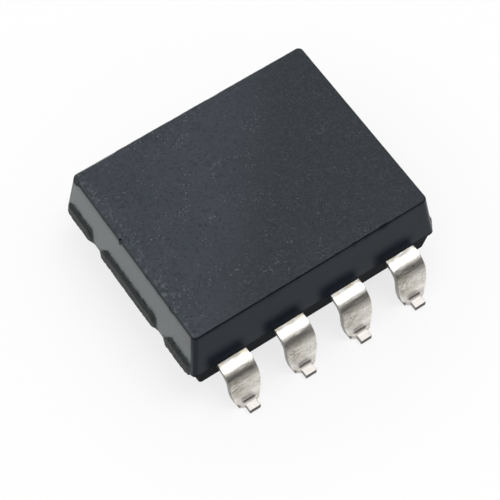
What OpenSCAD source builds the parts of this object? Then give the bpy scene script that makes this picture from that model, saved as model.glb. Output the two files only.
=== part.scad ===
// Wide-body optocoupler with eight leads formed for surface mounting.
// X runs along the lead rows, Y across the body and Z up. The feet stand on z = 0.

/* [Outer mould] */
// Length of the body between its end walls, at the parting plane
body_l = 10.95; // [10.6:0.05:12]
// Width of the body at the parting plane
body_w = 8.9; // [8.6:0.05:9]
// Height of the body above the parting plane
upper_h = 2.33; // [2.25:0.01:2.8]
// Depth of the body below the parting plane
lower_h = 1.05; // [0.9:0.01:1.3]
// Draft of the mould walls, in degrees
draft = 7.5; // [3:0.5:10]
// Radius of the mould's upright corners
corner_r = 0.22; // [0.2:0.01:0.3]
// Radius of the mould's upper and lower edges
edge_r = 0.12; // [0.06:0.01:0.18]
// Inset of the lower half along the leads, at the parting plane
parting_step = 0.03; // [0.01:0.01:0.06]
// Inset of the lower half at the ends, at the parting plane
end_inset = 0.2; // [0.15:0.01:0.3]

/* [End strips] */
// How far the strips stand out from the end walls
strip_out = 0.12; // [0.05:0.01:0.2]
// Height of the strips above the parting plane
strip_h = 0.55; // [0.3:0.05:0.9]
// Distance of each notch from the middle of the end wall
notch_y = 2.2; // [1.8:0.1:2.6]
// Width of a notch at the wall
notch_w = 0.36; // [0.2:0.02:0.6]
// Length of the taper at the ends of a strip
strip_taper = 0.42; // [0.2:0.02:0.5]
// Distance from a strip's end to the body's corner
strip_margin = 0.1; // [0.1:0.05:0.3]

/* [Leads] */
// Distance between neighbouring leads
lead_pitch = 2.54; // [2.4:0.01:2.6]
// Thickness of the lead frame
lead_t = 0.25; // [0.2:0.01:0.28]
// Width of a lead where it leaves the body
lead_w = 1.3; // [1.1:0.02:1.5]
// Width of a lead's foot
foot_w = 0.48; // [0.4:0.01:0.56]
// Height of the leads' upper face and of the parting plane above the seat
lead_z = 2; // [1.8:0.01:2.2]
// Distance over the tips of the feet
tip_span = 12; // [11.8:0.05:12.6]
// Distance from the tips in to the outer faces of the leads, half way down
drop_inset = 0.61; // [0.55:0.01:0.7]
// Outward lean of the leads on their way down, in degrees
drop_lean = 10; // [4:1:14]
// Inside radius of the bend at the shoulder
bend_r = 0.5; // [0.3:0.05:0.55]
// Inside radius of the bend at the foot
foot_bend_r = 0.15; // [0.1:0.05:0.25]
// Height above the seat below which the sides of a lead curve in
side_z = 0.95; // [0.6:0.05:1]
// Radius of those sides
side_r = 2.45; // [2:0.05:5]
// Length of a foot's narrow part
foot_l = 0.31; // [0.2:0.01:0.4]
// Radius of the round end of a lead's wide part
end_r = 0.8; // [0.76:0.01:1]
// Depth of the wide part inside the body
embed = 1.1; // [0.8:0.05:1.2]
// Width of the heads that anchor the leads with no circuit
anchor_w = 1.9; // [1.6:0.05:2.2]
// Depth of those heads
anchor_d = 0.4; // [0.2:0.05:0.5]

/* [Lead frame inside] */
// Width of the inner fingers
finger_w = 0.8; // [0.5:0.05:1]
// Rise of the emitter's plate above the leads' plane
plate_rise = 1.78; // [1.6:0.01:1.82]
// Length of the rising part, measured along Y
ramp_run = 0.85; // [0.6:0.05:1]
// Depth of the level part of a rising finger inside the inner mould
ramp_inset = 0.5; // [0.4:0.05:0.7]
// Emitter plate's reach past the middle
plate_reach = 0.55; // [0.4:0.05:0.8]
// Gap between neighbouring fingers and plates
frame_gap = 0.4; // [0.3:0.05:0.5]
// Length and width of the detector's plate
detector_plate = [2.4, 1.9]; // [1.8:0.1:2.6]

/* [Inner mould] */
// Length of the inner mould at the parting plane
inner_l = 9; // [8.8:0.1:9.4]
// Width of the inner mould at the parting plane
inner_w = 5.6; // [5.2:0.1:5.7]
// Height of the inner mould above the parting plane
inner_up = 2.03; // [1.95:0.01:2.1]
// Depth of the inner mould below the parting plane
inner_down = 0.72; // [0.5:0.01:0.75]

/* [Dies and wires] */
// Side of the emitter die
emitter_side = 0.35; // [0.25:0.05:0.5]
// Thickness of the emitter die
emitter_t = 0.17; // [0.1:0.01:0.2]
// Side of the detector die
detector_side = 1.3; // [1:0.05:1.5]
// Thickness of the detector die
detector_t = 0.25; // [0.15:0.01:0.3]
// Thickness of the layers that hold the dies
attach_t = 0.02; // [0.02:0.01:0.04]
// How far those layers show round the dies
attach_rim = 0.05; // [0.02:0.01:0.1]
// Diameter of the bond wires
wire_d = 0.04; // [0.03:0.005:0.06]
// Rise of a bond wire above the line between its ends
wire_rise = 0.2; // [0.15:0.01:0.25]
// Diameter and height of the ball at a wire's first end
ball = [0.1, 0.03]; // [0.02:0.01:0.12]
// Distance of the bonds from the edges that they stand near
bond_inset = 0.15; // [0.1:0.01:0.2]
// Distance of the detector's supply and ground bonds from the middle of their edges
side_bond_y = 0.1; // [0:0.05:0.2]

/* [Hidden] */
$fn = 48;
hull_fn = 32;
bend_steps = 12;
rows = 4;
spill = 1;
rim_h = 0.01;

top_z = lead_z + upper_h;
bottom_z = lead_z - lower_h;
lead_bottom = lead_z - lead_t;
tip_y = tip_span / 2;
plate_z = lead_bottom + plate_rise;
embed_y = body_w / 2 - embed;
inner_y = inner_w / 2;
ramp_y0 = -inner_y + ramp_inset;
ramp_y1 = ramp_y0 + ramp_run;
finger_y = detector_plate.y / 2 + frame_gap;
supply_x = -detector_plate.x / 2 - frame_gap;
emitter_face = plate_z - attach_t - emitter_t;
detector_face = lead_z + attach_t + detector_t;
corner_y = detector_side / 2 - bond_inset;

mould_black = "#2b2f35";
guide_white = "#e9e6dc";
tin = "#c9c6bf";
gold = "#d9b24a";
die_grey = "#6d7480";
silver_paste = "#b9bcc0";

// Place of a lead along its row, counted from one end
function row_x(place) = (place - (rows + 1) / 2) * lead_pitch;

// How far a drafted wall moves in over a height
function lean(height) = height * tan(draft);

// Centre of a corner whose edge rounds off a wall that stands at half at the parting plane, over a height
function corner_centre(half, height) = half - edge_r / cos(draft) - lean(height - edge_r) - corner_r + edge_r;

// Four copies, mirrored about both middle planes
module each_corner() {
    for (sx = [0, 1], sy = [0, 1])
        mirror([sx, 0, 0])
            mirror([0, sy, 0])
                children();
}

// A disc of the corner radius with a round edge
module corner_disc() {
    rotate_extrude($fn = hull_fn)
        intersection() {
            translate([corner_r - edge_r, 0])
                circle(edge_r, $fn = hull_fn);
            translate([0, -edge_r])
                square([corner_r, 2 * edge_r]);
        }
}

// One drafted half of the outer mould above z = 0, with rounded corners and edges
module mould_half(l, w, h) {
    hull()
        each_corner() {
            translate([l / 2 - corner_r, w / 2 - corner_r, 0])
                cylinder(r = corner_r, h = rim_h, $fn = hull_fn);
            translate([corner_centre(l / 2, h), corner_centre(w / 2, h), h - edge_r])
                corner_disc();
        }
}

// One raised strip along an end wall, between two places on Y, with tapered ends
module end_strip(y0, y1) {
    wall = body_l / 2;
    outer = wall + strip_out;
    back = wall - lean(strip_h) - spill;
    intersection() {
        translate([0, y1, lead_z])
            rotate([90, 0, 0])
                linear_extrude(y1 - y0)
                    polygon([[back, 0], [outer, 0], [outer - lean(strip_h), strip_h], [back, strip_h]]);
        translate([0, 0, lead_z])
            linear_extrude(strip_h)
                polygon([
                    [back, y0], [wall - lean(strip_h), y0], [outer, y0 + strip_taper],
                    [outer, y1 - strip_taper], [wall - lean(strip_h), y1], [back, y1]
                ]);
    }
}

// The three strips of one end
module end_strips() {
    side = body_w / 2 - strip_margin;
    end_strip(-side, -notch_y - notch_w / 2);
    end_strip(-notch_y + notch_w / 2, notch_y - notch_w / 2);
    end_strip(notch_y + notch_w / 2, side);
}

// Outline of the inner mould across one half size, from its bottom to its top
module guide_section(half) {
    polygon([
        [-half + lean(inner_down), -inner_down], [half - lean(inner_down), -inner_down], [half, 0],
        [half - lean(inner_up), inner_up], [-half + lean(inner_up), inner_up], [-half, 0]
    ]);
}

// The inner mould's outer form, drafted both ways from the parting plane
module guide_block() {
    translate([0, 0, lead_z])
        intersection() {
            translate([0, inner_y + spill, 0])
                rotate([90, 0, 0])
                    linear_extrude(inner_w + 2 * spill)
                        guide_section(inner_l / 2);
            translate([-inner_l / 2 - spill, 0, 0])
                rotate([90, 0, 90])
                    linear_extrude(inner_l + 2 * spill)
                        guide_section(inner_y);
        }
}

// Outer face of a lead between its bends, as a distance from the middle plane at a height above the seat
function drop_y(z) = tip_y - drop_inset + (lead_z / 2 - z) * tan(drop_lean);

// Points of an arc in the profile plane, between two angles measured from straight up
function arc(centre, r, from, to) = [
    for (i = [0:bend_steps])
        let (a = from + (to - from) * i / bend_steps)
            centre + r * [sin(a), cos(a)]
];

// Side profile of the formed lead: outward along X, height along Y
module lead_profile() {
    turn = 90 - drop_lean;
    shoulder_r = bend_r + lead_t;
    shoulder_z = lead_z - shoulder_r;
    shoulder = [drop_y(shoulder_z) - shoulder_r / cos(drop_lean), shoulder_z];
    heel_r = foot_bend_r + lead_t;
    heel = [drop_y(heel_r) + foot_bend_r / cos(drop_lean), heel_r];
    polygon(concat(
        [[embed_y, lead_bottom], [embed_y, lead_z]],
        arc(shoulder, shoulder_r, 0, turn),
        arc(heel, -foot_bend_r, turn, 0),
        [[tip_y, lead_t], [tip_y, 0]],
        arc(heel, -heel_r, 0, turn),
        arc(shoulder, bend_r, turn, 0)
    ));
}

// Front outline of the formed lead: straight sides that curve in towards the seat
module lead_front() {
    translate([-lead_w / 2, side_z])
        square([lead_w, lead_z + spill - side_z]);
    intersection() {
        translate([lead_w / 2 - side_r, side_z])
            circle(side_r);
        translate([side_r - lead_w / 2, side_z])
            circle(side_r);
        translate([-lead_w / 2, -spill])
            square([lead_w, side_z + spill]);
    }
}

// Outline of the formed lead from above: wide, with a round end, then the narrow foot
module lead_plan() {
    root_y = tip_y - foot_l;
    end_y = root_y - sqrt(end_r * end_r - foot_w * foot_w / 4);
    translate([-lead_w / 2, 0])
        square([lead_w, end_y]);
    intersection() {
        translate([0, end_y])
            circle(end_r);
        translate([-lead_w / 2, end_y])
            square([lead_w, end_r]);
    }
    translate([-foot_w / 2, end_y])
        square([foot_w, tip_y + spill - end_y]);
}

// The bent strip outside the body and in its wall, on the -Y side
module formed_lead() {
    intersection() {
        translate([lead_w / 2 + spill, 0, 0])
            rotate([90, 0, -90])
                linear_extrude(lead_w + 2 * spill)
                    lead_profile();
        rotate([90, 0, 0])
            linear_extrude(tip_y + spill)
                lead_front();
        translate([0, 0, -spill])
            mirror([0, 1, 0])
                linear_extrude(lead_z + 2 * spill)
                    lead_plan();
    }
}

// A piece of the lead frame in the leads' plane, from one corner to the opposite one
module frame_plate(low, high) {
    translate([low.x, low.y, lead_bottom])
        cube([high.x - low.x, high.y - low.y, lead_t]);
}

// A finger on the -Y side that rises from the leads' plane to the emitter's, and ends at y_end
module rising_finger(y_end) {
    shift = lead_t * tan(atan2(plate_rise, ramp_run) / 2);
    translate([-finger_w / 2, 0, 0])
        rotate([90, 0, 90])
            linear_extrude(finger_w)
                polygon([
                    [-embed_y, lead_bottom], [ramp_y0, lead_bottom], [ramp_y1, plate_z], [y_end, plate_z],
                    [y_end, plate_z + lead_t], [ramp_y1 - shift, plate_z + lead_t],
                    [ramp_y0 - shift, lead_z], [-embed_y, lead_z]
                ]);
}

// A lead with no circuit: the formed strip and a head that holds it in the mould
module anchored_lead(place) {
    translate([row_x(place), 0, 0]) {
        formed_lead();
        frame_plate([-anchor_w / 2, -embed_y], [anchor_w / 2, -embed_y + anchor_d]);
    }
}

// A lead on the +Y side with its formed strip alone
module far_lead(place) {
    rotate([0, 0, 180])
        translate([row_x(place), 0, 0])
            formed_lead();
}

module lead_1() {
    color(tin)
        anchored_lead(1);
}

module lead_2() {
    color(tin)
        translate([row_x(2), 0, 0]) {
            formed_lead();
            rising_finger(-plate_reach);
        }
}

module lead_3() {
    plate_x = row_x(2) + finger_w / 2 + frame_gap;
    color(tin) {
        translate([row_x(3), 0, 0]) {
            formed_lead();
            rising_finger(plate_reach);
        }
        translate([plate_x, ramp_y1, plate_z])
            cube([row_x(3) - plate_x, plate_reach - ramp_y1, lead_t]);
    }
}

module lead_4() {
    color(tin)
        anchored_lead(4);
}

module lead_5() {
    x = -row_x(1);
    color(tin) {
        far_lead(1);
        frame_plate([x - finger_w / 2, -finger_w / 2], [x + finger_w / 2, embed_y]);
        frame_plate([detector_plate.x / 2, -finger_w / 2], [x, finger_w / 2]);
        frame_plate(-detector_plate / 2, detector_plate / 2);
    }
}

// A straight finger on the +Y side, ending short of the detector's plate
module far_finger(place) {
    x = -row_x(place);
    far_lead(place);
    frame_plate([x - finger_w / 2, finger_y], [x + finger_w / 2, embed_y]);
}

module lead_6() {
    color(tin)
        far_finger(2);
}

module lead_7() {
    color(tin)
        far_finger(3);
}

module lead_8() {
    x = -row_x(4);
    color(tin) {
        far_lead(4);
        frame_plate([x - finger_w / 2, -finger_w / 2], [x + finger_w / 2, embed_y]);
        frame_plate([x, -finger_w / 2], [supply_x, finger_w / 2]);
    }
}

// A square slab centred on the Z axis, from z0 upward
module slab(side, t, z0) {
    translate([-side / 2, -side / 2, z0])
        cube([side, side, t]);
}

module emitter_attach() {
    color(silver_paste)
        slab(emitter_side + 2 * attach_rim, attach_t, plate_z - attach_t);
}

module emitter_die() {
    color(die_grey)
        slab(emitter_side, emitter_t, emitter_face);
}

module detector_attach() {
    color(silver_paste)
        slab(detector_side + 2 * attach_rim, attach_t, lead_z);
}

module detector_die() {
    color(die_grey)
        slab(detector_side, detector_t, lead_z + attach_t);
}

// A bond wire: a ball at its first end, an arc, and a flat stitch at its second end
module bond_wire(from, to) {
    run = norm([to.x - from.x, to.y - from.y]);
    drop = to.z - from.z;
    chord = norm([run, drop]);
    arc_r = (chord * chord / 4 + wire_rise * wire_rise) / (2 * wire_rise);
    half = asin(chord / (2 * arc_r));
    over = atan2(2 * wire_d, arc_r);
    color(gold)
        translate(from)
            rotate([0, 0, atan2(to.y - from.y, to.x - from.x)])
                difference() {
                    union() {
                        rotate([0, -atan2(drop, run), 0])
                            translate([chord / 2, 0, wire_rise - arc_r])
                                rotate([90, 0, 0])
                                    rotate_extrude(angle = 2 * (half + over), start = 90 - half - over)
                                        translate([arc_r, 0])
                                            circle(d = wire_d);
                        cylinder(d = ball[0], h = ball[1]);
                    }
                    translate([-spill, -spill, -spill])
                        cube([spill + run / 2, 2 * spill, spill]);
                    translate([run / 2, -spill, drop - spill])
                        cube([spill + run, 2 * spill, spill]);
                }
}

// The emitter faces down, so its wire is drawn upside down and turned over
module emitter_wire() {
    start_x = -emitter_side / 2 + bond_inset;
    end_x = row_x(2) + finger_w / 2 - bond_inset;
    end_y = -plate_reach - bond_inset;
    mirror([0, 0, 1])
        bond_wire([start_x, 0, -emitter_face], [end_x, end_y, -plate_z]);
}

// Place of a bond on the detector die, at its left or right edge
function detector_bond(side, y) = [side * (detector_side / 2 - bond_inset), y, detector_face];

module supply_wire() {
    bond_wire(detector_bond(-1, -side_bond_y), [supply_x - bond_inset, 0, lead_z]);
}

module enable_wire() {
    bond_wire(detector_bond(-1, corner_y), [-row_x(3), finger_y + bond_inset, lead_z]);
}

module output_wire() {
    bond_wire(detector_bond(1, corner_y), [-row_x(2), finger_y + bond_inset, lead_z]);
}

module ground_wire() {
    bond_wire(detector_bond(1, -side_bond_y), [detector_plate.x / 2 - bond_inset, -finger_w / 2, lead_z]);
}

module leads() {
    lead_1();
    lead_2();
    lead_3();
    lead_4();
    lead_5();
    lead_6();
    lead_7();
    lead_8();
}

module inner_mould() {
    color(guide_white)
        difference() {
            guide_block();
            leads();
            emitter_attach();
            emitter_die();
            emitter_wire();
            detector_attach();
            detector_die();
            supply_wire();
            enable_wire();
            output_wire();
            ground_wire();
        }
}

module outer_mould() {
    color(mould_black)
        difference() {
            union() {
                translate([0, 0, lead_z])
                    mould_half(body_l, body_w, upper_h);
                translate([0, 0, lead_z])
                    mirror([0, 0, 1])
                        mould_half(body_l - 2 * end_inset, body_w - 2 * parting_step, lower_h);
                for (end = [0, 1])
                    mirror([end, 0, 0])
                        end_strips();
            }
            guide_block();
            leads();
        }
}

outer_mould();
inner_mould();
lead_1();
lead_2();
lead_3();
lead_4();
lead_5();
lead_6();
lead_7();
lead_8();
emitter_die();
emitter_attach();
emitter_wire();
detector_die();
detector_attach();
supply_wire();
enable_wire();
output_wire();
ground_wire();
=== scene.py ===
"""Looks of a wide-body optocoupler: camera, studio, fine meshes of the mould and the leads, and materials."""

import math

import bmesh
import bpy
from mathutils import Matrix, Vector, noise


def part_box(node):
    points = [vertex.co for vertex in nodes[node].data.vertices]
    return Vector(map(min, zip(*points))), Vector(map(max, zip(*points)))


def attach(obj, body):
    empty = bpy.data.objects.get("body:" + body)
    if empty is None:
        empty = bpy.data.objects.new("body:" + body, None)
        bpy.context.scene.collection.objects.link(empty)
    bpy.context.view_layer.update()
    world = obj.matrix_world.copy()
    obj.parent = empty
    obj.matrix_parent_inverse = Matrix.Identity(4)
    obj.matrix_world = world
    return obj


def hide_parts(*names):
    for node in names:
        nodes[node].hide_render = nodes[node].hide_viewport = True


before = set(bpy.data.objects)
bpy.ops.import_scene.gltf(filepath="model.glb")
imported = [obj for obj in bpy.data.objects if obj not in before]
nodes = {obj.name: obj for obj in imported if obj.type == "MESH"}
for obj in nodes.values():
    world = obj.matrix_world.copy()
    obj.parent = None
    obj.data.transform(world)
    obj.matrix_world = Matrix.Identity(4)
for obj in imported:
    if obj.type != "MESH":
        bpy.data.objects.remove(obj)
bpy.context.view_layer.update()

MM = 0.001

# Sizes that the frame gives, in millimetres
mould_low, mould_high = (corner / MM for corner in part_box("outer_mould"))
lead_low, lead_high = (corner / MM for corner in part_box("lead_1"))
TOP_Z = mould_high.z
BOTTOM_Z = mould_low.z
LEAD_Z = lead_high.z
TIP_Y = -lead_low.y
GUIDE_DOWN = LEAD_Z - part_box("inner_mould")[0].z / MM
GUIDE_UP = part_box("inner_mould")[1].z / MM - LEAD_Z
GUIDE_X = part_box("inner_mould")[1].x / MM
GUIDE_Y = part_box("inner_mould")[1].y / MM

# Sizes of the mould that the frame's boxes don't give, in millimetres, and what follows from them
DRAFT = math.radians(7.5)
EDGE_R = 0.12
CORNER_R = 0.22
LOWER_EDGE_R = 0.06
LOWER_CORNER_R = 0.12
PARTING_STEP = 0.03
END_INSET = 0.2
STRIP_OUT = 0.12
STRIP_H = 0.55
STRIP_MARGIN = 0.1
NOTCH_Y = 2.2
NOTCH_W = 0.36
BODY_L = 2 * (mould_high.x - STRIP_OUT)
BODY_W = 2 * mould_high.y
RIM_X = BODY_L / 2 - (TOP_Z - LEAD_Z) * math.tan(DRAFT) - EDGE_R

# Torn relief of the strips on the ends: lengths in millimetres, shares, and grains in a millimetre
STRIP_R = 0.05
STRIP_TAPER = 0.42
STRIP_START = 0.15
STRIP_LOW = 0.3
STRIP_FALL = 0.42
STRIP_TORN = 0.25
STRIP_TOP_GRAIN = 2.2
STRIP_FACE_GRAIN = 4.0
STRIP_CLEARANCE = 0.02

# Wear of the upper edge, in millimetres: chips, a dull stretch to a corner, and spots (place, radius, depth)
CHIP_DEPTH = 0.035
CHIP_FROM = 0.1
CHIP_GRAIN = 2.0
FAR_WEAR = 0.045
FAR_WEAR_X = -3.15
FAR_WEAR_Y = 3.6
FAR_WEAR_RUN = 0.25
WORN_SPOTS = (((-5.15, 0.77), 0.06, 0.1), ((-5.2, 4.2), 0.35, 0.12))
SPOT_REACH = 1.5

# Counts and sizes of the formed leads, in millimetres
PER_SIDE = 4
LEADS = range(1, 2 * PER_SIDE + 1)
LEAD_PITCH = 2.54
LEAD_T = 0.25
LEAD_W = 1.3
FOOT_W = 0.48
FOOT_L = 0.31
DROP_INSET = 0.61
DROP_Y = TIP_Y - DROP_INSET
DROP_LEAN = math.radians(10)
BEND_R = 0.5
FOOT_BEND_R = 0.15
SIDE_Z = 0.95
SIDE_R = 2.45
END_R = 0.8
FINE_FROM_Y = 4.2
BURR = 0.02

# Steps of the meshes, and insets of the flat faces' inner loops in millimetres
END_STEPS = 240
SIDE_STEPS = 200
CORNER_STEPS = 8
STRIP_STEPS = 16
WALL_STEPS = 8
FILLET_STEPS = 10
FLAT_INSETS = (0.15, 0.4)
SHOULDER_STEPS = 8
BEND_STEPS = 28
DROP_STEPS = 24
HEEL_STEPS = 16
FOOT_STEPS = 12
ACROSS_STEPS = 10
BURR_STEPS = 3

# Limits for joining, shading and bevelling the meshes
WELD = 1e-4
FLAT_ANGLE = 0.01
SHARP_ANGLE = math.radians(32)
BURR_ANGLE = math.radians(50)

# Noise of the torn strips and the worn edge: how its finer grains fade, how much finer each is, how many
FRACTAL_FADE = 0.6
FRACTAL_STEP = 2.0
FRACTAL_OCTAVES = 3

# Faces that count as the mould's sides, by their normals, and how far a strip stands out at least
SIDE_NORMAL_Y = 0.05
SIDE_NORMAL_Z = 0.7
ON_STRIP = 0.005

# Camera, fitted to the photograph: where it looks, from where and how far, in millimetres
AIM = Vector((-0.762, -1.152, LEAD_Z))
AZIMUTH = math.radians(-33.274)
ELEVATION = math.radians(61.225)
ROLL = math.radians(-0.943)
DISTANCE = 75.163
FOCAL_PIXELS = 1991.3
IMAGE_PIXELS = 500
SENSOR = 36.0
CLIP_NEAR = 5
CLIP_FAR = 10000

# Floor: half its size and the fade of its glow in millimetres, its colour, and the glow's share near and far
FLOOR_HALF = 1500
FLOOR_CARD = (0.92, 0.92, 0.92, 1)
FLOOR_NEAR = 0.76
FLOOR_FAR = 0.93
FLOOR_FADE = 8.0
WHITE = (1, 1, 1, 1)

# Light of the room, and limits of the panel and its core on a plane one unit overhead
PANEL = 1.1
CORE = 5.0
ROOM = 0.07
HORIZON = 1.0
HORIZON_Z = (0.03, 0.08)
LOWEST_Z = 0.01
PANEL_EDGE = 0.06
PANEL_ALONG = (-0.82, 1.7)
PANEL_ACROSS = (-1.7, 1.0)
CORE_ALONG = (-0.36, 0.12)
CORE_ACROSS = (0.0, 0.6)

# Zones of the mould's looks, by the surface's normal: from where each starts to where it is full
TOP_FACING = (0.75, 0.98)
END_FACING = (0.75, 0.95)
SIDE_FACING = (0.5, 0.8)
EDGE_FACING = ((0.18, 0.3), (0.92, 0.8))
WORN_FACING = (0.3, 0.15)

# Zones of the mould's looks, by place in millimetres: from where each starts to where it is full
LOWER_Z = (LEAD_Z, LEAD_Z - 0.02)
# Where the painted shadow under the upper half's overhang lies, just above the parting plane
SEAM_SHADOW_Z = (LEAD_Z + 0.14, LEAD_Z + 0.05)
STRIP_REACH = (0.015, 0.05)
END_SHADE_Z = (TOP_Z - 0.6, TOP_Z - 0.1)
CORNER_SHADE_Y = (-3.0, -4.1)
CORNER_SHADE_Z = (TOP_Z - 1.3, TOP_Z - 0.3)
# Painted shade: patches above the leads where the walls' shine is cut
PATCH_SHIFT = 0.25
PATCH_RAGGED = 0.3
PATCH_X = (1.05, 0.55)
PATCH_Z = (LEAD_Z + 1.35, LEAD_Z + 0.6)
DRIFT_SLANT = 0.85
DRIFT_X = (-2.0, 1.6)
SCUFF_X = (0.5 - RIM_X, -RIM_X)
FLECK_X = (-2.0, 4.5)

# Shares of the marks on the mould, where the zone or the noise that varies them starts and where it is full
MOTTLE_SHARE = (0.66, 0.54)
PIT_SHARE = (0.75, 0.0)
CLUSTER_SHARE = (0.12, 0.97)
FLECK_ALONG = (1.0, 0.45)
FLECK_UNEVEN = (0.4, 1.0)
EDGE_BROKEN = (1.0, 0.35)

# Colours of the mould
WALL_DARK = (0.0095, 0.0135, 0.0205, 1)
WALL_PALE = (0.0120, 0.0160, 0.0235, 1)
TOP_DARK = (0.0225, 0.0285, 0.0390, 1)
TOP_PALE = (0.0310, 0.0345, 0.0475, 1)
TOP_DRIFT = (0.0040, 0.0065, 0.0095, 1)
TOP_MOTTLE = (0.0410, 0.0445, 0.0530, 1)
TOP_PEPPER = (0.0380, 0.0430, 0.0520, 1)
TOP_PIT = (0.0080, 0.0105, 0.0140, 1)
TOP_FLECK = (0.16, 0.17, 0.18, 1)
TOP_SCUFF = (0.120, 0.130, 0.135, 1)
# Painted shadow along the seam, under the upper half's overhang
SEAM_SHADOW = (0.004, 0.0045, 0.006, 1)
EDGE_LINE = (0.008, 0.0095, 0.012, 1)
EDGE_WORN = (0.030, 0.036, 0.038, 1)
# Painted light: the ends' tone, paler than the walls
END_WALL_LIT = (0.038, 0.052, 0.054, 1)
END_SHADE = (0.006, 0.009, 0.010, 1)
# Painted shade of the lower half, under the body
LOWER_HALF_SHADE = (0.006, 0.008, 0.010, 1)
STRIP_DARK = (0.021, 0.023, 0.023, 1)
STRIP_PALE = (0.037, 0.039, 0.038, 1)
TOP_TINT = (0.90, 0.96, 1.0, 1)
SIDE_TINT = (0.72, 0.86, 1.0, 1)

# Shine and relief of the mould: refraction, share of the mirrored light, roughness, and depths in millimetres
TOP_IOR = 1.5
SIDE_IOR = 1.19
WALL_SHINE = 0.5
# Share of the mirrored light where painted shade cuts the walls' shine, above the leads and at the seam
SHADED_SHINE = 0.08
WALL_ROUGH = (0.17, 0.25)
TOP_ROUGH = (0.6, 0.75)
LOWER_ROUGH = 0.8
WORN_ROUGH = 0.7
STRIP_ROUGH = 0.65
WALL_GRAIN = 0.04
PIT_DEPTH = 0.010
TORN_DEPTH = 0.035

# Zones of the plating, in from the tip, up from the floor or out from a lead's middle: from start to full
SHOULDER_SHAKE = 0.08
SHOULDER_IN = (1.02, 1.20)
STAIN_IN = (1.20, 1.55)
BEND_IN = (1.15, 0.95)
BEND_UP = (0.8, 1.5)
# Painted shade: the band across the upper bend
BEND_SHADE_UP = ((1.34, 1.6), (1.8, 1.7))
PLATE_UP = ((0.4, 0.8), (1.95, 1.7))
DIRTY_X = (0.35, -0.4)
DIRTY_UP = ((0.5, 1.1), (1.8, 1.6))
# Painted light: the drop paler towards the floor
LOW_LIT_UP = (0.85, 0.42)
FLANK_X = (0.22, 0.32)
FLANK_UP = (0.55, 0.42)
# Painted shade in the concave heel
HEEL_SHADE_IN = ((0.50, 0.42), (0.27, 0.39))
HEEL_SHADE_UP = (0.5, 0.4)
FOOT_IN = (0.40, 0.28)
CUT_IN = (0.02, 0.005)
SHEARED_FACING = (0.5, 0.9)

# Shares of the plating's marks: the painted heel shade's loss at the flanks, and streaks off the bend and on
# it
HEEL_SHADE_LOSS = 0.8
STREAK_SHARE = (0.15, 0.7)

# Colours of the plating
TIN = (0.74, 0.72, 0.67, 1)
TIN_SMUDGED = (0.63, 0.60, 0.54, 1)
# Painted light on the lower drop
TIN_LOW_LIT = (0.98, 0.96, 0.92, 1)
# Painted shade on the upper bend
TIN_BEND_SHADE = (0.33, 0.315, 0.29, 1)
# Painted highlight on the shoulder
TIN_SHOULDER_HIGHLIGHT = (0.96, 0.945, 0.91, 1)
TIN_FOOT = (0.86, 0.83, 0.80, 1)
TIN_STAIN = (0.82, 0.70, 0.46, 1)
TIN_MOTTLE = (0.42, 0.39, 0.34, 1)
TIN_DIRT = (0.26, 0.24, 0.19, 1)
TIN_STREAK = (0.30, 0.28, 0.24, 1)
TIN_FLANK = (1.0, 0.97, 0.92, 1)
# Painted shade in the heel
TIN_HEEL_SHADE = (0.06, 0.05, 0.04, 1)
TIN_SPECK = (0.18, 0.16, 0.14, 1)
TIN_SHEARED = (0.16, 0.15, 0.14, 1)
TIN_CUT = (0.13, 0.12, 0.11, 1)

# Shine and relief of the plating: roughness, grains in a millimetre on each axis, and depths in millimetres
TIN_ROUGH = (0.28, 0.38)
SHOULDER_ROUGH = 0.3
FOOT_ROUGH = 0.6
FLANK_ROUGH = 0.85
CUT_ROUGH = 0.55
DIRT_GRAIN = (4.0, 9.0, 9.0)
STREAK_GRAIN = (2.2, 11.0, 11.0)
DENT_DEPTH = 0.012
STREAK_DEPTH = 0.004
GRAIN_DEPTH = 0.002

# Colours and finish of the inner pieces, with the radius of scattering and the relief in millimetres
MILK = (0.80, 0.77, 0.69, 1)
MILK_PALE = (0.90, 0.88, 0.82, 1)
MILK_ROUGH = (0.35, 0.5)
MILK_SCATTER = 0.3
MILK_RADIUS = Vector((0.6, 0.5, 0.4))
MILK_DEPTH = 0.003
EMITTER_DARK = (0.30, 0.20, 0.18, 1)
EMITTER_PALE = (0.55, 0.42, 0.30, 1)
EMITTER_ROWS = 12.0
DETECTOR_DARK = (0.12, 0.15, 0.22, 1)
DETECTOR_PALE = (0.35, 0.38, 0.48, 1)
DETECTOR_ROWS = 6.0
CRYSTAL_LINE = 0.03
CRYSTAL_ROUGH = (0.12, 0.22)
GOLD = (0.90, 0.66, 0.22, 1)
GOLD_DARK = (0.80, 0.56, 0.18, 1)
GOLD_ROUGH = (0.15, 0.3)
PASTE_DARK = (0.40, 0.41, 0.42, 1)
PASTE_PALE = (0.72, 0.72, 0.73, 1)
PASTE_METAL = 0.6
PASTE_ROUGH = (0.35, 0.6)


def make_camera():
    """The photograph's view of the object."""
    back = Vector((
        math.sin(AZIMUTH) * math.cos(ELEVATION),
        -math.cos(AZIMUTH) * math.cos(ELEVATION),
        math.sin(ELEVATION),
    ))
    level = Vector((math.cos(AZIMUTH), math.sin(AZIMUTH), 0))
    upright = back.cross(level)
    right = math.cos(ROLL) * level + math.sin(ROLL) * upright
    up = -math.sin(ROLL) * level + math.cos(ROLL) * upright
    data = bpy.data.cameras.new("camera")
    data.sensor_width = SENSOR
    data.lens = FOCAL_PIXELS / IMAGE_PIXELS * SENSOR
    data.clip_start = CLIP_NEAR * MM
    data.clip_end = CLIP_FAR * MM
    camera = bpy.data.objects.new("camera", data)
    bpy.context.scene.collection.objects.link(camera)
    turn = Matrix((right, up, back)).transposed().to_4x4()
    camera.matrix_world = Matrix.Translation((AIM + DISTANCE * back) * MM) @ turn
    bpy.context.scene.camera = camera


# Shader nodes

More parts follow.
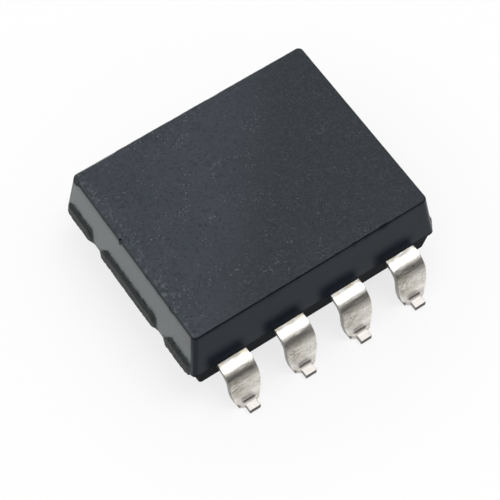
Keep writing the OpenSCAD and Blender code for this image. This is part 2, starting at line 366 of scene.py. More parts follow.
def add(tree, kind, inputs=None, **settings):
    """One shader node with its settings, and its inputs set to values or linked to sockets."""
    node = tree.nodes.new(kind)
    for name, value in settings.items():
        setattr(node, name, value)
    for key, value in (inputs or {}).items():
        if isinstance(value, bpy.types.NodeSocket):
            tree.links.new(value, node.inputs[key])
        else:
            node.inputs[key].default_value = value
    return node


def calculate(tree, operation, a, b=0.0):
    """A sum, product or other operation on one or two values."""
    return add(tree, "ShaderNodeMath", {0: a, 1: b}, operation=operation).outputs[0]


def absolute(tree, value):
    """A value without its sign."""
    return calculate(tree, "ABSOLUTE", value)


def inverse(tree, share):
    """What a share leaves of 1."""
    return calculate(tree, "SUBTRACT", 1.0, share)


def product(tree, *factors):
    """The product of several values."""
    total = factors[0]
    for factor in factors[1:]:
        total = calculate(tree, "MULTIPLY", total, factor)
    return total


def ramp(tree, value, low, high, out_low=0.0, out_high=1.0):
    """A smooth step from one value to another as the input goes from low to high."""
    sockets = {"Value": value, "From Min": low, "From Max": high, "To Min": out_low, "To Max": out_high}
    return add(tree, "ShaderNodeMapRange", sockets, interpolation_type="SMOOTHSTEP").outputs["Result"]


def band(tree, value, enter, leave):
    """1 between two soft limits, each given from where it starts to where the band is full."""
    return product(tree, ramp(tree, value, *enter), ramp(tree, value, *leave))


def mix_colour(tree, share, first, second):
    """A blend of two colours."""
    return add(tree, "ShaderNodeMix", {0: share, 6: first, 7: second}, data_type="RGBA").outputs[2]


def mix_value(tree, share, first, second):
    """A blend of two values."""
    return add(tree, "ShaderNodeMix", {0: share, 2: first, 3: second}).outputs[0]


def coat(tree, base, colour, share, strength=1.0):
    """A colour laid over another, by a share and a strength."""
    if strength < 1.0:
        share = product(tree, share, strength)
    return mix_colour(tree, share, base, colour)


def split(tree, vector):
    """A vector's X, Y and Z."""
    return add(tree, "ShaderNodeSeparateXYZ", {0: vector}).outputs


def surface_normal(tree):
    """Which way the surface faces, as X, Y and Z."""
    return split(tree, add(tree, "ShaderNodeNewGeometry").outputs["Normal"])


def stretched(tree, vector, scale):
    """Coordinates with a scale of their own along each axis."""
    return add(tree, "ShaderNodeVectorMath", {0: vector, 1: scale}, operation="MULTIPLY").outputs[0]


def grain(tree, vector, scale, detail=2.0, roughness=0.5):
    """Noise of about scale grains in a millimetre."""
    sockets = {"Vector": vector, "Scale": scale, "Detail": detail, "Roughness": roughness}
    return add(tree, "ShaderNodeTexNoise", sockets).outputs["Fac"]


def blotches(tree, vector, scale, start, full, detail=2.0, roughness=0.5):
    """Soft blotches, about scale in a millimetre, from the noise where they start to where they are full."""
    return ramp(tree, grain(tree, vector, scale, detail, roughness), start, full)


def flecks(tree, place, scale, size, share):
    """Small round spots, in a share of the cells of a scale."""
    cells = add(tree, "ShaderNodeTexVoronoi", {"Vector": place, "Scale": scale})
    dot = ramp(tree, cells.outputs["Distance"], 0.5 * size, size, 1.0, 0.0)
    pick = add(tree, "ShaderNodeSeparateColor", {0: cells.outputs["Color"]}).outputs[0]
    return product(tree, dot, ramp(tree, pick, 1 - share, 1 - 0.5 * share))


def bump(tree, height, depth, normal=None):
    """Relief of a depth in millimetres."""
    sockets = {"Height": height, "Distance": depth * MM}
    if normal is not None:
        sockets["Normal"] = normal
    return add(tree, "ShaderNodeBump", sockets).outputs["Normal"]


def from_lead(tree, x):
    """The distance along X from the nearest lead's middle, with its sign."""
    turn = calculate(tree, "FRACT", calculate(tree, "DIVIDE", x, LEAD_PITCH))
    return product(tree, calculate(tree, "SUBTRACT", turn, 0.5), LEAD_PITCH)


def new_material(name):
    """A material with its shader, its node tree and its coordinates in millimetres."""
    material = bpy.data.materials.new(name)
    material.use_nodes = True
    tree = material.node_tree
    shader = tree.nodes["Principled BSDF"]
    place = add(tree, "ShaderNodeTexCoord").outputs["Object"]
    return material, tree, shader, stretched(tree, place, (1 / MM,) * 3)


# Black mould

def top_flecks(tree, place, axis, fine):
    """Pale flecks of two sizes, in clusters, of uneven strength, and fainter towards one end."""
    small = flecks(tree, place, scale=15.0, size=0.5, share=0.2)
    large = flecks(tree, place, scale=8.0, size=0.26, share=0.1)
    cluster = blotches(tree, place, scale=1.1, start=0.46, full=0.62, detail=3.0, roughness=0.6)
    spots = product(tree, calculate(tree, "ADD", small, large), mix_value(tree, cluster, *CLUSTER_SHARE))
    spots = product(tree, spots, ramp(tree, axis["X"], *FLECK_X, *FLECK_ALONG))
    return product(tree, spots, ramp(tree, fine, 0.35, 0.65, *FLECK_UNEVEN))


def top_colour(tree, place, axis, cloud, fine):
    """The matte top: clouds that darken along a slant, mottle, pits and flecks, and scuffs at one rim."""
    slant = calculate(tree, "SUBTRACT", axis["X"], product(tree, axis["Y"], DRIFT_SLANT))
    drift = ramp(tree, slant, *DRIFT_X)
    tone = mix_colour(tree, cloud, TOP_DARK, TOP_PALE)
    tone = coat(tree, tone, TOP_DRIFT, drift, strength=0.95)
    mottle = blotches(tree, place, scale=11.0, start=0.44, full=0.68, detail=3.0, roughness=0.75)
    tone = coat(tree, tone, TOP_MOTTLE, product(tree, mottle, mix_value(tree, drift, *MOTTLE_SHARE)))
    tone = coat(tree, tone, TOP_PEPPER, ramp(tree, fine, 0.3, 0.7), strength=0.4)
    pits = blotches(tree, place, scale=8.0, start=0.5, full=0.36, detail=4.0, roughness=0.75)
    tone = coat(tree, tone, TOP_PIT, product(tree, pits, mix_value(tree, drift, *PIT_SHARE)))
    tone = coat(tree, tone, TOP_FLECK, top_flecks(tree, place, axis, fine))
    scuff = blotches(tree, place, scale=4.0, start=0.5, full=0.66, detail=4.0, roughness=0.75)
    scuff = product(tree, ramp(tree, axis["X"], *SCUFF_X), scuff)
    return coat(tree, tone, TOP_SCUFF, scuff, strength=0.7)


def end_shade(tree, axis):
    """How the ends darken towards the upper edge, and further down at one corner of each."""
    corner = product(tree, ramp(tree, axis["Y"], *CORNER_SHADE_Y), ramp(tree, axis["Z"], *CORNER_SHADE_Z))
    return calculate(tree, "MAXIMUM", corner, ramp(tree, axis["Z"], *END_SHADE_Z))


def strip_share(tree, axis):
    """1 on the strips, which stand out from the drafted ends."""
    rise = product(tree, calculate(tree, "SUBTRACT", axis["Z"], LEAD_Z), math.tan(DRAFT))
    reach = calculate(tree, "ADD", absolute(tree, axis["X"]), rise)
    return ramp(tree, calculate(tree, "SUBTRACT", reach, BODY_L / 2), *STRIP_REACH)


def lead_patches(tree, place, axis):
    """Ragged patches above the leads where the walls' shine is cut: painted shade standing in for the walls
    mirroring the dark side of the shoulders.
    """
    beside = absolute(tree, calculate(tree, "ADD", from_lead(tree, axis["X"]), PATCH_SHIFT))
    shaken = product(tree, grain(tree, place, scale=1.6, detail=3.0), PATCH_RAGGED)
    height = calculate(tree, "ADD", axis["Z"], shaken)
    return product(tree, ramp(tree, beside, *PATCH_X), ramp(tree, height, *PATCH_Z))


def mould_material(name, ior, tint, by_leads=False):
    """Black epoxy: matte top, smooth walls, torn strips and a rough lower half, with painted light and shade:
    ends painted paler, a painted shadow line at the seam, the walls' shine cut by the leads, and the lower
    half painted darker.
    """
    material, tree, shader, place = new_material(name)
    axis = split(tree, place)
    facing = surface_normal(tree)
    top = ramp(tree, absolute(tree, facing["Z"]), *TOP_FACING)
    end = ramp(tree, absolute(tree, facing["X"]), *END_FACING)
    edge = band(tree, facing["Z"], *EDGE_FACING)
    worn = product(tree, edge, ramp(tree, absolute(tree, facing["Y"]), *WORN_FACING))
    lower = ramp(tree, axis["Z"], *LOWER_Z)
    side = product(tree, ramp(tree, absolute(tree, facing["Y"]), *SIDE_FACING), inverse(tree, lower))
    seam_shadow = ramp(tree, axis["Z"], *SEAM_SHADOW_Z)
    strip = strip_share(tree, axis)

    cloud = blotches(tree, place, scale=0.45, start=0.3, full=0.7, detail=3.0)
    fine = grain(tree, place, scale=17.0, roughness=0.7)
    torn = grain(tree, place, scale=6.0, detail=4.0, roughness=0.65)
    broken = ramp(tree, grain(tree, place, scale=0.6), 0.42, 0.6, *EDGE_BROKEN)
    tone = mix_colour(tree, cloud, WALL_DARK, WALL_PALE)
    tone = coat(tree, tone, top_colour(tree, place, axis, cloud, fine), top)
    # Painted shadow: a dark line under the upper half's overhang on the walls along the leads
    tone = coat(tree, tone, SEAM_SHADOW, product(tree, side, seam_shadow))
    tone = coat(tree, tone, EDGE_LINE, product(tree, edge, broken))
    tone = coat(tree, tone, EDGE_WORN, worn)
    # Painted light: the ends painted paler than the walls
    tone = coat(tree, tone, END_WALL_LIT, end)
    tone = coat(tree, tone, END_SHADE, product(tree, end, end_shade(tree, axis)), strength=0.9)
    # Painted shade: the lower half painted darker, as if in the shade under the body
    tone = coat(tree, tone, LOWER_HALF_SHADE, lower)
    strip_tone = mix_colour(tree, ramp(tree, torn, 0.35, 0.65), STRIP_DARK, STRIP_PALE)
    tone = coat(tree, tone, strip_tone, strip)
    tree.links.new(tone, shader.inputs["Base Color"])

    rough = mix_value(tree, top, mix_value(tree, fine, *WALL_ROUGH), mix_value(tree, fine, *TOP_ROUGH))
    rough = mix_value(tree, lower, rough, LOWER_ROUGH)
    rough = mix_value(tree, worn, rough, WORN_ROUGH)
    tree.links.new(mix_value(tree, strip, rough, STRIP_ROUGH), shader.inputs["Roughness"])
    shader.inputs["IOR"].default_value = ior
    shader.inputs["Specular Tint"].default_value = tint
    if by_leads:
        # Painted shade: the walls' shine cut above the leads and at the seam
        shine_shade = product(tree, side, calculate(tree, "MAXIMUM", lead_patches(tree, place, axis), seam_shadow))
        tree.links.new(mix_value(tree, shine_shade, WALL_SHINE, SHADED_SHINE), shader.inputs["Specular IOR Level"])
    pits = bump(tree, product(tree, fine, calculate(tree, "ADD", top, WALL_GRAIN)), PIT_DEPTH)
    tree.links.new(bump(tree, product(tree, torn, strip), TORN_DEPTH, pits), shader.inputs["Normal"])
    return material


# Tin plating

def tin_zones(tree, place):
    """Shares of a lead's zones, from the body to the cut tip."""
    axis = split(tree, place)
    up = axis["Z"]
    inward = calculate(tree, "SUBTRACT", TIP_Y, absolute(tree, axis["Y"]))
    across = from_lead(tree, axis["X"])
    shake = product(tree, grain(tree, place, scale=5.0, detail=3.0), SHOULDER_SHAKE)
    aside = ramp(tree, absolute(tree, across), *FLANK_X)
    # Painted shade in the concave heel, fading at the flanks
    heel = product(tree, band(tree, inward, *HEEL_SHADE_IN), ramp(tree, up, *HEEL_SHADE_UP))
    return {
        "stained": ramp(tree, inward, *STAIN_IN),
        "shoulder": ramp(tree, calculate(tree, "SUBTRACT", inward, shake), *SHOULDER_IN),
        "bend": product(tree, ramp(tree, inward, *BEND_IN), ramp(tree, up, *BEND_UP)),
        # Painted shade: the dark band across the upper bend
        "bend_shade": band(tree, up, *BEND_SHADE_UP),
        "plate": band(tree, up, *PLATE_UP),
        "dirty": product(tree, ramp(tree, across, *DIRTY_X), band(tree, up, *DIRTY_UP)),
        "low": ramp(tree, up, *LOW_LIT_UP),
        "flank": product(tree, aside, ramp(tree, up, *FLANK_UP)),
        "heel": product(tree, heel, inverse(tree, product(tree, aside, HEEL_SHADE_LOSS))),
        "foot": ramp(tree, inward, *FOOT_IN),
        "sheared": ramp(tree, absolute(tree, surface_normal(tree)["X"]), *SHEARED_FACING),
        "cut": ramp(tree, inward, *CUT_IN),
    }


def tin_colour(tree, place, zone, worn):
    """Smudged tin with a tone for each zone, mottle, dirt, streaks, dark specks and dark cuts, and painted
    light and shade: a painted highlight on the shoulder, paler tin low on the drop as painted light, and
    painted shade in a band across the upper bend and in the heel.
    """
    smudge = blotches(tree, place, scale=2.2, start=0.35, full=0.7, detail=4.0, roughness=0.6)
    tone = mix_colour(tree, smudge, TIN, TIN_SMUDGED)
    # Painted light: paler tin low on the drop
    tone = coat(tree, tone, TIN_LOW_LIT, zone["low"], strength=0.85)
    # Painted shade: a dark band across the upper bend
    tone = coat(tree, tone, TIN_BEND_SHADE, zone["bend_shade"], strength=0.85)
    # Painted highlight: near-white tin on the shoulder
    tone = coat(tree, tone, TIN_SHOULDER_HIGHLIGHT, zone["shoulder"])
    tone = coat(tree, tone, TIN_FOOT, zone["foot"])
    stain = blotches(tree, place, scale=2.5, start=0.42, full=0.62, detail=3.0)
    tone = coat(tree, tone, TIN_STAIN, product(tree, zone["stained"], stain), strength=0.6)
    mottle = blotches(tree, place, scale=9.0, start=0.47, full=0.63, detail=5.0, roughness=0.75)
    tone = coat(tree, tone, TIN_MOTTLE, product(tree, zone["plate"], mottle), strength=0.6)
    drawn = stretched(tree, place, DIRT_GRAIN)
    dirt = blotches(tree, drawn, scale=1.0, start=0.44, full=0.58, detail=5.0, roughness=0.75)
    tone = coat(tree, tone, TIN_DIRT, product(tree, zone["dirty"], dirt), strength=0.85)
    tone = coat(tree, tone, TIN_STREAK, worn)
    tone = coat(tree, tone, TIN_FLANK, zone["flank"], strength=0.8)
    # Painted shade: the dark line in the concave heel
    tone = coat(tree, tone, TIN_HEEL_SHADE, zone["heel"], strength=0.93)
    tone = coat(tree, tone, TIN_SPECK, flecks(tree, place, scale=4.5, size=0.2, share=0.14))
    tone = coat(tree, tone, TIN_SHEARED, zone["sheared"], strength=0.75)
    return coat(tree, tone, TIN_CUT, zone["cut"])


def tin_material():
    """Tin plating: stained by the body, streaked on the bend, dirty below, and dull at the foot and tip."""
    material, tree, shader, place = new_material("tin_plating")
    zone = tin_zones(tree, place)
    drawn = stretched(tree, place, STREAK_GRAIN)
    streak = blotches(tree, drawn, scale=1.0, start=0.52, full=0.64, detail=4.0, roughness=0.65)
    worn = product(tree, streak, mix_value(tree, zone["bend"], *STREAK_SHARE))
    tree.links.new(tin_colour(tree, place, zone, worn), shader.inputs["Base Color"])
    shader.inputs["Metallic"].default_value = 1.0

    fine = grain(tree, place, scale=14.0, detail=3.0)
    rough = mix_value(tree, zone["shoulder"], mix_value(tree, fine, *TIN_ROUGH), SHOULDER_ROUGH)
    rough = mix_value(tree, zone["foot"], rough, FOOT_ROUGH)
    rough = mix_value(tree, zone["flank"], rough, FLANK_ROUGH)
    tree.links.new(mix_value(tree, zone["cut"], rough, CUT_ROUGH), shader.inputs["Roughness"])
    dents = bump(tree, grain(tree, place, scale=4.5, detail=3.0, roughness=0.6), DENT_DEPTH)
    streaks = bump(tree, worn, STREAK_DEPTH, dents)
    tree.links.new(bump(tree, fine, GRAIN_DEPTH, streaks), shader.inputs["Normal"])
    return material


# Inner pieces

def guide_material():
    """Milky light guide."""
    material, tree, shader, place = new_material("milky_epoxy")
    cloud = grain(tree, place, scale=1.2, detail=4.0)
    tree.links.new(mix_colour(tree, cloud, MILK, MILK_PALE), shader.inputs["Base Color"])
    tree.links.new(mix_value(tree, cloud, *MILK_ROUGH), shader.inputs["Roughness"])
    shader.inputs["Subsurface Weight"].default_value = MILK_SCATTER
    shader.inputs["Subsurface Radius"].default_value = MILK_RADIUS * MM
    tree.links.new(bump(tree, grain(tree, place, scale=9.0), MILK_DEPTH), shader.inputs["Normal"])
    return material


def crystal_material(name, dark, pale, rows):
    """A die with rows of fine marks on its polished face."""
    material, tree, shader, place = new_material(name)
    marks = add(tree, "ShaderNodeTexBrick", {"Vector": place, "Scale": rows, "Mortar Size": CRYSTAL_LINE})
    tree.links.new(mix_colour(tree, marks.outputs["Fac"], dark, pale), shader.inputs["Base Color"])
    tree.links.new(mix_value(tree, grain(tree, place, scale=6.0), *CRYSTAL_ROUGH), shader.inputs["Roughness"])
    return material


def wire_material():
    """Drawn gold wire."""
    material, tree, shader, place = new_material("drawn_gold")
    lines = grain(tree, place, scale=30.0)
    tree.links.new(mix_colour(tree, lines, GOLD, GOLD_DARK), shader.inputs["Base Color"])
    shader.inputs["Metallic"].default_value = 1.0
    tree.links.new(mix_value(tree, lines, *GOLD_ROUGH), shader.inputs["Roughness"])
    return material


def paste_material():
    """Cured paste with silver flakes."""
    material, tree, shader, place = new_material("silver_paste")
    flakes = grain(tree, place, scale=25.0, detail=3.0)
    tree.links.new(mix_colour(tree, flakes, PASTE_DARK, PASTE_PALE), shader.inputs["Base Color"])
    shader.inputs["Metallic"].default_value = PASTE_METAL
    tree.links.new(mix_value(tree, flakes, *PASTE_ROUGH), shader.inputs["Roughness"])
    return material


def dress_inner_pieces():
    """Gives the pieces inside the mould, which stay as the frame has them, their materials."""
    gold = wire_material()
    paste = paste_material()
    materials = {
        "inner_mould": guide_material(),
        "emitter_die": crystal_material("emitter_crystal", EMITTER_DARK, EMITTER_PALE, EMITTER_ROWS),
        "detector_die": crystal_material("detector_crystal", DETECTOR_DARK, DETECTOR_PALE, DETECTOR_ROWS),
        "emitter_attach": paste,
        "detector_attach": paste,
        "emitter_wire": gold,
        "supply_wire": gold,
        "enable_wire": gold,
        "output_wire": gold,
        "ground_wire": gold,
    }
    for name, material in materials.items():
        nodes[name].data.materials.clear()
        nodes[name].data.materials.append(material)


# Meshes

def welded(node):
    """A copy of a CAD node's mesh, in millimetres, with its split corners joined."""
    form = bmesh.new()
    form.from_mesh(nodes[node].data)
    bmesh.ops.scale(form, vec=(1 / MM,) * 3, verts=form.verts)
    bmesh.ops.remove_doubles(form, verts=form.verts, dist=WELD)
    return form


def make_object(name, form):
    """An object from a mesh in millimetres."""
    bmesh.ops.scale(form, vec=(MM,) * 3, verts=form.verts)
    bmesh.ops.recalc_face_normals(form, faces=form.faces)
    mesh = bpy.data.meshes.new(name)
    form.to_mesh(mesh)
    form.free()
    piece = bpy.data.objects.new(name, mesh)
    bpy.context.scene.collection.objects.link(piece)
    return piece


def apply_modifiers(piece):
    """Turns a piece's modifiers into its mesh."""
    graph = bpy.context.evaluated_depsgraph_get()
    mesh = bpy.data.meshes.new_from_object(piece.evaluated_get(graph))
    piece.modifiers.clear()
    piece.data = mesh


def stand_for(piece, node, material):
    """Puts a fine piece in the place of its CAD node."""
    piece.data.materials.clear()
    piece.data.materials.append(material)
    piece.data.shade_smooth()
    piece.data.set_sharp_from_angle(angle=SHARP_ANGLE)
    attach(piece, "root")
    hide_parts(node)


def smooth(share):
    """A smooth step from 0 to 1."""
    share = max(0.0, min(1.0, share))
    return share * share * (3 - 2 * share)


def lean(height):
    """How far a drafted wall moves in over a height."""
    return height * math.tan(DRAFT)


def roughness_at(x, y, z, scale):
    """Noise from about -1 to 1, of about scale grains in a millimetre."""
    return noise.fractal(Vector((x, y, z)) * scale, FRACTAL_FADE, FRACTAL_STEP, FRACTAL_OCTAVES)


# Mould

def strip_out(side, y, rise):
    """How far an end wall's strips stand out at a place on Y and a height above the parting plane."""
    from_notch = abs(abs(y) - NOTCH_Y) - NOTCH_W / 2
    from_corner = BODY_W / 2 - STRIP_MARGIN - abs(y)
    inside = min(from_notch, from_corner)
    height = STRIP_H * (STRIP_LOW + (1 - STRIP_LOW) * smooth(from_notch / STRIP_FALL))
    height -= STRIP_R * abs(roughness_at(side, y, 0, STRIP_TOP_GRAIN))
    torn = 1 - STRIP_TORN * abs(roughness_at(side, y, rise, STRIP_FACE_GRAIN))
    return STRIP_OUT * torn * smooth(inside / STRIP_TAPER + STRIP_START) * smooth((height - rise) / STRIP_R)


def edge_wear(x, y):
    """How far the upper edge is worn back: fine chips, a dull stretch to a far corner, and spots."""
    wear = max(0.0, roughness_at(x, y, 0, CHIP_GRAIN) - CHIP_FROM) * CHIP_DEPTH
    wear += FAR_WEAR * smooth((FAR_WEAR_X - x) / FAR_WEAR_RUN) * smooth((y - FAR_WEAR_Y) / FAR_WEAR_RUN)
    for at, radius, depth in WORN_SPOTS:
        wear += depth * smooth(SPOT_REACH - (Vector((x, y)) - Vector(at)).length / radius)
    return wear


def corner_point(half_x, half_y, corner, turn):
    """A point on a round corner, at a turn from the X axis."""
    return half_x - corner + corner * math.cos(turn), half_y - corner + corner * math.sin(turn)


def outline(half_x, half_y, corner, rise=None, wear=0.0):
    """One level of the mould, counter-clockwise: walls, round corners, strips on the ends and worn edges."""
    points = []
    for side in (1, -1):
        for i in range(END_STEPS):
            y = side * (half_y - corner) * (2 * i / END_STEPS - 1)
            out = strip_out(side, y, rise) if rise is not None else 0
            points.append(Vector((side * (half_x + out), y)))
        for i in range(CORNER_STEPS):
            x, y = corner_point(half_x, half_y, corner, math.pi / 2 * i / CORNER_STEPS)
            points.append(Vector((side * x, side * y)))
        for i in range(SIDE_STEPS):
            x = (half_x - corner) * (1 - 2 * i / SIDE_STEPS)
            points.append(Vector((side * x, side * half_y)))
        for i in range(CORNER_STEPS):
            x, y = corner_point(half_x, half_y, corner, math.pi / 2 * (1 - i / CORNER_STEPS))
            points.append(Vector((-side * x, side * y)))
    if wear:
        for point in points:
            point -= point.normalized() * wear * edge_wear(point.x, point.y)
    return points


def half_levels(half_x, half_y, height, up):
    """Levels of one half of the mould, from the parting plane to its flat face: z and outline."""
    levels = []
    corner_r, edge_r = (CORNER_R, EDGE_R) if up > 0 else (LOWER_CORNER_R, LOWER_EDGE_R)

    def level(rise, inset, corner, strip=False, wear=0.0):
        """Adds one level at a height from the parting plane."""
        points = outline(half_x - inset, half_y - inset, corner, rise if strip else None, wear)
        levels.append((LEAD_Z + up * rise, points))

    first = STRIP_H + STRIP_CLEARANCE if up > 0 else 0.0
    for i in range(STRIP_STEPS if up > 0 else 0):
        rise = first * i / STRIP_STEPS
        level(rise, lean(rise), corner_r, strip=True)
    last = height - edge_r + edge_r * math.sin(DRAFT)
    for i in range(WALL_STEPS):
        rise = first + (last - first) * i / WALL_STEPS
        level(rise, lean(rise), corner_r)
    centre = edge_r / math.cos(DRAFT) + lean(height - edge_r)
    for i in range(FILLET_STEPS + 1):
        turn = DRAFT + (math.pi / 2 - DRAFT) * i / FILLET_STEPS
        bend = edge_r * math.cos(turn)
        wear = math.sin(math.pi * i / FILLET_STEPS) if up > 0 else 0
        level(height - edge_r + edge_r * math.sin(turn), centre - bend, corner_r - edge_r + bend, wear=wear)
    for inset in FLAT_INSETS:
        level(height, centre + inset, corner_r - edge_r)
    return levels


def skin(form, levels):
    """Closed surface through levels of equal counts, from the first to the last."""
    rings = [[form.verts.new((p.x, p.y, z)) for p in points] for z, points in levels]
    for below, above in zip(rings, rings[1:]):
        for i in range(len(below)):
            j = (i + 1) % len(below)
            form.faces.new((below[i], below[j], above[j], above[i]))
    form.faces.new(reversed(rings[0]))
    form.faces.new(rings[-1])


def make_guide_cutter():
    """The light guide's outer form, to hollow the mould with."""
    form = bmesh.new()
    levels = []
    for z, inset in ((-GUIDE_DOWN, lean(GUIDE_DOWN)), (0, 0), (GUIDE_UP, lean(GUIDE_UP))):
        x, y = GUIDE_X - inset, GUIDE_Y - inset
        levels.append((LEAD_Z + z, [Vector(p) for p in ((x, -y), (x, y), (-x, y), (-x, -y))]))
    skin(form, levels)
    return make_object("guide_cutter", form)


def finish_sides(piece, material):
    """Gives the walls along the leads, with their corners, and the lower half a second material."""
    piece.data.materials.append(material)
    for face in piece.data.polygons:
        place = face.center / MM
        strip = abs(place.x) + lean(place.z - LEAD_Z) - BODY_L / 2 > ON_STRIP
        upright = abs(face.normal.y) > SIDE_NORMAL_Y and face.normal.z < SIDE_NORMAL_Z
        if upright and not strip or place.z < LEAD_Z:
            face.material_index = 1


def make_mould(material, side_material):
    """The outer mould: drafted halves, round edges, strips, the light guide's cavity and the leads' slots."""
    form = bmesh.new()
    lower = half_levels(BODY_L / 2 - END_INSET, BODY_W / 2 - PARTING_STEP, LEAD_Z - BOTTOM_Z, -1)
    upper = half_levels(BODY_L / 2, BODY_W / 2, TOP_Z - LEAD_Z, 1)
    skin(form, lower[::-1] + upper)
    piece = make_object("mould_shell", form)
    cutters = [make_guide_cutter()]
    cutters += [make_object("slot_cutter", welded("lead_%d" % place)) for place in LEADS]
    for cutter in cutters:
        cut = piece.modifiers.new("cut", "BOOLEAN")
        cut.object = cutter
        cut.solver = "EXACT"
    apply_modifiers(piece)
    for cutter in cutters:
        bpy.data.objects.remove(cutter)
    stand_for(piece, "outer_mould", material)
    finish_sides(piece, side_material)


# Leads

def drop_y(z):
    """Outer face of a lead between its bends, at a height."""
    return DROP_Y + (LEAD_Z / 2 - z) * math.tan(DROP_LEAN)


def lead_stations():
    """Outer and inner points of the formed end's profile, from the body to the tip, as (y, z) pairs."""
    turn = math.pi / 2 - DROP_LEAN
    shoulder_z = LEAD_Z - LEAD_T - BEND_R
    shoulder_y = drop_y(shoulder_z) - (BEND_R + LEAD_T) / math.cos(DROP_LEAN)
    heel_z = FOOT_BEND_R + LEAD_T
    heel_y = drop_y(heel_z) + FOOT_BEND_R / math.cos(DROP_LEAN)

    def around_shoulder(angle, radius):
        """A point on the upper bend."""
        return shoulder_y + radius * math.sin(angle), shoulder_z + radius * math.cos(angle)

    def around_heel(angle, radius):
        """A point on the lower bend."""
        return heel_y - radius * math.sin(angle), heel_z - radius * math.cos(angle)

    stations = []
    for i in range(1, SHOULDER_STEPS):
        y = FINE_FROM_Y + (shoulder_y - FINE_FROM_Y) * i / SHOULDER_STEPS
        stations.append(((y, LEAD_Z), (y, LEAD_Z - LEAD_T)))
    for i in range(BEND_STEPS + 1):
        angle = turn * i / BEND_STEPS
        stations.append((around_shoulder(angle, BEND_R + LEAD_T), around_shoulder(angle, BEND_R)))
    heel = []
    for i in range(HEEL_STEPS + 1):
        angle = turn * (1 - i / HEEL_STEPS)
        heel.append((around_heel(angle, FOOT_BEND_R), around_heel(angle, FOOT_BEND_R + LEAD_T)))
    top, bottom = stations[-1], heel[0]
    for i in range(1, DROP_STEPS):
        share = i / DROP_STEPS
        pair = [tuple(p + (q - p) * share for p, q in zip(top[side], bottom[side])) for side in (0, 1)]
        stations.append(tuple(pair))
    stations += heel
    for i in range(1, FOOT_STEPS + 1):
        y = heel_y + (TIP_Y - heel_y) * i / FOOT_STEPS
        stations.append(((y, LEAD_T), (y, 0)))
    return stations


def half_width(y, z):
    """Half the lead's width at a place in its profile: straight, curving in, a round end, then the foot."""
    root_y = TIP_Y - FOOT_L
    end_y = root_y - math.sqrt(END_R ** 2 - FOOT_W ** 2 / 4)
    half = LEAD_W / 2
    if z < SIDE_Z:
        half = min(half, LEAD_W / 2 - SIDE_R + math.sqrt(SIDE_R ** 2 - (SIDE_Z - z) ** 2))
    if y >= root_y:
        return min(half, FOOT_W / 2)
    if y > end_y:
        half = min(half, math.sqrt(END_R ** 2 - (y - end_y) ** 2))
    return half


def inner_finger(node, side):
    """The inner part of a lead as the frame has it, open where the formed end goes on."""
    form = welded(node)
    bmesh.ops.bisect_plane(
        form,
        geom=form.verts[:] + form.edges[:] + form.faces[:],
        plane_co=(0, side * FINE_FROM_Y, 0),
        plane_no=(0, side, 0),
        clear_outer=True,
    )
    bmesh.ops.dissolve_limit(form, angle_limit=FLAT_ANGLE, verts=form.verts, edges=form.edges)
    return form


def add_formed_end(form, middle, side):
    """Adds the lead's formed end, closed at its tip and joined to the open finger."""
    rings = []
    for outer, inner in lead_stations():
        ring = []
        for (y, z), step in ((outer, 1), (inner, -1)):
            for i in range(ACROSS_STEPS + 1):
                share = step * (2 * i / ACROSS_STEPS - 1)
                ring.append(form.verts.new((middle + share * half_width(y, z), side * y, z)))
        rings.append(ring)
    for near, far in zip(rings, rings[1:]):
        for i in range(len(near)):
            j = (i + 1) % len(near)
            form.faces.new((near[i], near[j], far[j], far[i]))
    tip = rings[-1]
    for i in range(ACROSS_STEPS):
        form.faces.new((tip[i], tip[i + 1], tip[-2 - i], tip[-1 - i]))
    open_edges = [edge for edge in form.edges if edge.is_boundary]
    bmesh.ops.bridge_loops(form, edges=open_edges)


def make_lead(place, material):
    """One lead: its inner finger, and a finely meshed formed end with burrs."""
    node = "lead_%d" % place
    near = place <= PER_SIDE
    side = -1 if near else 1
    row = place if near else len(LEADS) + 1 - place
    middle = (row - (PER_SIDE + 1) / 2) * LEAD_PITCH
    form = inner_finger(node, side)
    add_formed_end(form, middle, side)
    piece = make_object("tinned_lead_%d" % place, form)
    bevel = piece.modifiers.new("burr", "BEVEL")
    bevel.width = BURR * MM
    bevel.segments = BURR_STEPS
    bevel.limit_method = "ANGLE"
    bevel.angle_limit = BURR_ANGLE
    apply_modifiers(piece)
    stand_for(piece, node, material)


# Studio

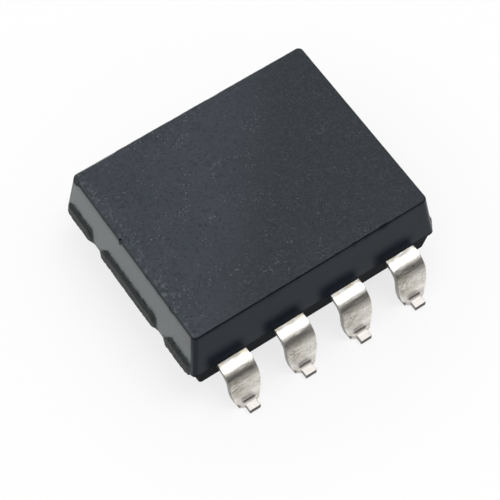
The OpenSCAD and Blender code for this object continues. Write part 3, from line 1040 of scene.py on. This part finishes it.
def make_floor():
    """A plain white floor that keeps the object's shadow."""
    form = bmesh.new()
    bmesh.ops.create_grid(form, x_segments=1, y_segments=1, size=FLOOR_HALF)
    floor = make_object("floor", form)
    material = bpy.data.materials.new("white_floor")
    material.use_nodes = True
    tree = material.node_tree
    tree.nodes.clear()
    place = stretched(tree, add(tree, "ShaderNodeTexCoord").outputs["Object"], (1 / MM, 1 / MM, 0))
    away = add(tree, "ShaderNodeVectorMath", {0: place}, operation="LENGTH").outputs["Value"]
    rays = add(tree, "ShaderNodeLightPath").outputs
    seen = calculate(tree, "MAXIMUM", rays["Is Camera Ray"], rays["Is Glossy Ray"])
    seen = calculate(tree, "MAXIMUM", seen, rays["Is Transmission Ray"])
    card = add(tree, "ShaderNodeBsdfDiffuse", {"Color": FLOOR_CARD}).outputs[0]
    glow = add(tree, "ShaderNodeEmission", {"Color": WHITE, "Strength": 1.0}).outputs[0]
    share = product(tree, seen, ramp(tree, away, TIP_Y, TIP_Y + FLOOR_FADE, FLOOR_NEAR, FLOOR_FAR))
    mixed = add(tree, "ShaderNodeMixShader", {0: share, 1: card, 2: glow}).outputs[0]
    add(tree, "ShaderNodeOutputMaterial", {"Surface": mixed})
    floor.data.materials.append(material)


def between(tree, value, limits):
    """1 between two limits, with soft edges."""
    low, high = limits
    enter = ramp(tree, value, low - PANEL_EDGE, low + PANEL_EDGE)
    leave = ramp(tree, value, high - PANEL_EDGE, high + PANEL_EDGE, 1.0, 0.0)
    return product(tree, enter, leave)


def make_world():
    """A panel of soft light overhead with a brighter core, in a dim room with a pale horizon."""
    world = bpy.data.worlds.new("studio")
    world.use_nodes = True
    bpy.context.scene.world = world
    tree = world.node_tree
    tree.nodes.clear()
    axis = split(tree, add(tree, "ShaderNodeTexCoord").outputs["Generated"])
    height = calculate(tree, "MAXIMUM", axis["Z"], LOWEST_Z)
    across = calculate(tree, "DIVIDE", axis["X"], height)
    along = calculate(tree, "DIVIDE", axis["Y"], height)
    light = ramp(tree, axis["Z"], *HORIZON_Z, HORIZON, ROOM)
    panel = product(tree, between(tree, along, PANEL_ALONG), between(tree, across, PANEL_ACROSS))
    light = mix_value(tree, panel, light, PANEL)
    core = product(tree, between(tree, along, CORE_ALONG), between(tree, across, CORE_ACROSS))
    light = mix_value(tree, core, light, CORE)
    studio = add(tree, "ShaderNodeBackground", {"Color": WHITE, "Strength": light}).outputs[0]
    add(tree, "ShaderNodeOutputWorld", {"Surface": studio})


make_camera()
make_floor()
make_world()
bpy.context.scene.view_settings.view_transform = "Standard"

make_mould(
    mould_material("moulded_epoxy", TOP_IOR, TOP_TINT),
    mould_material("moulded_sides", SIDE_IOR, SIDE_TINT, by_leads=True),
)
tin = tin_material()
for place in LEADS:
    make_lead(place, tin)
dress_inner_pieces()
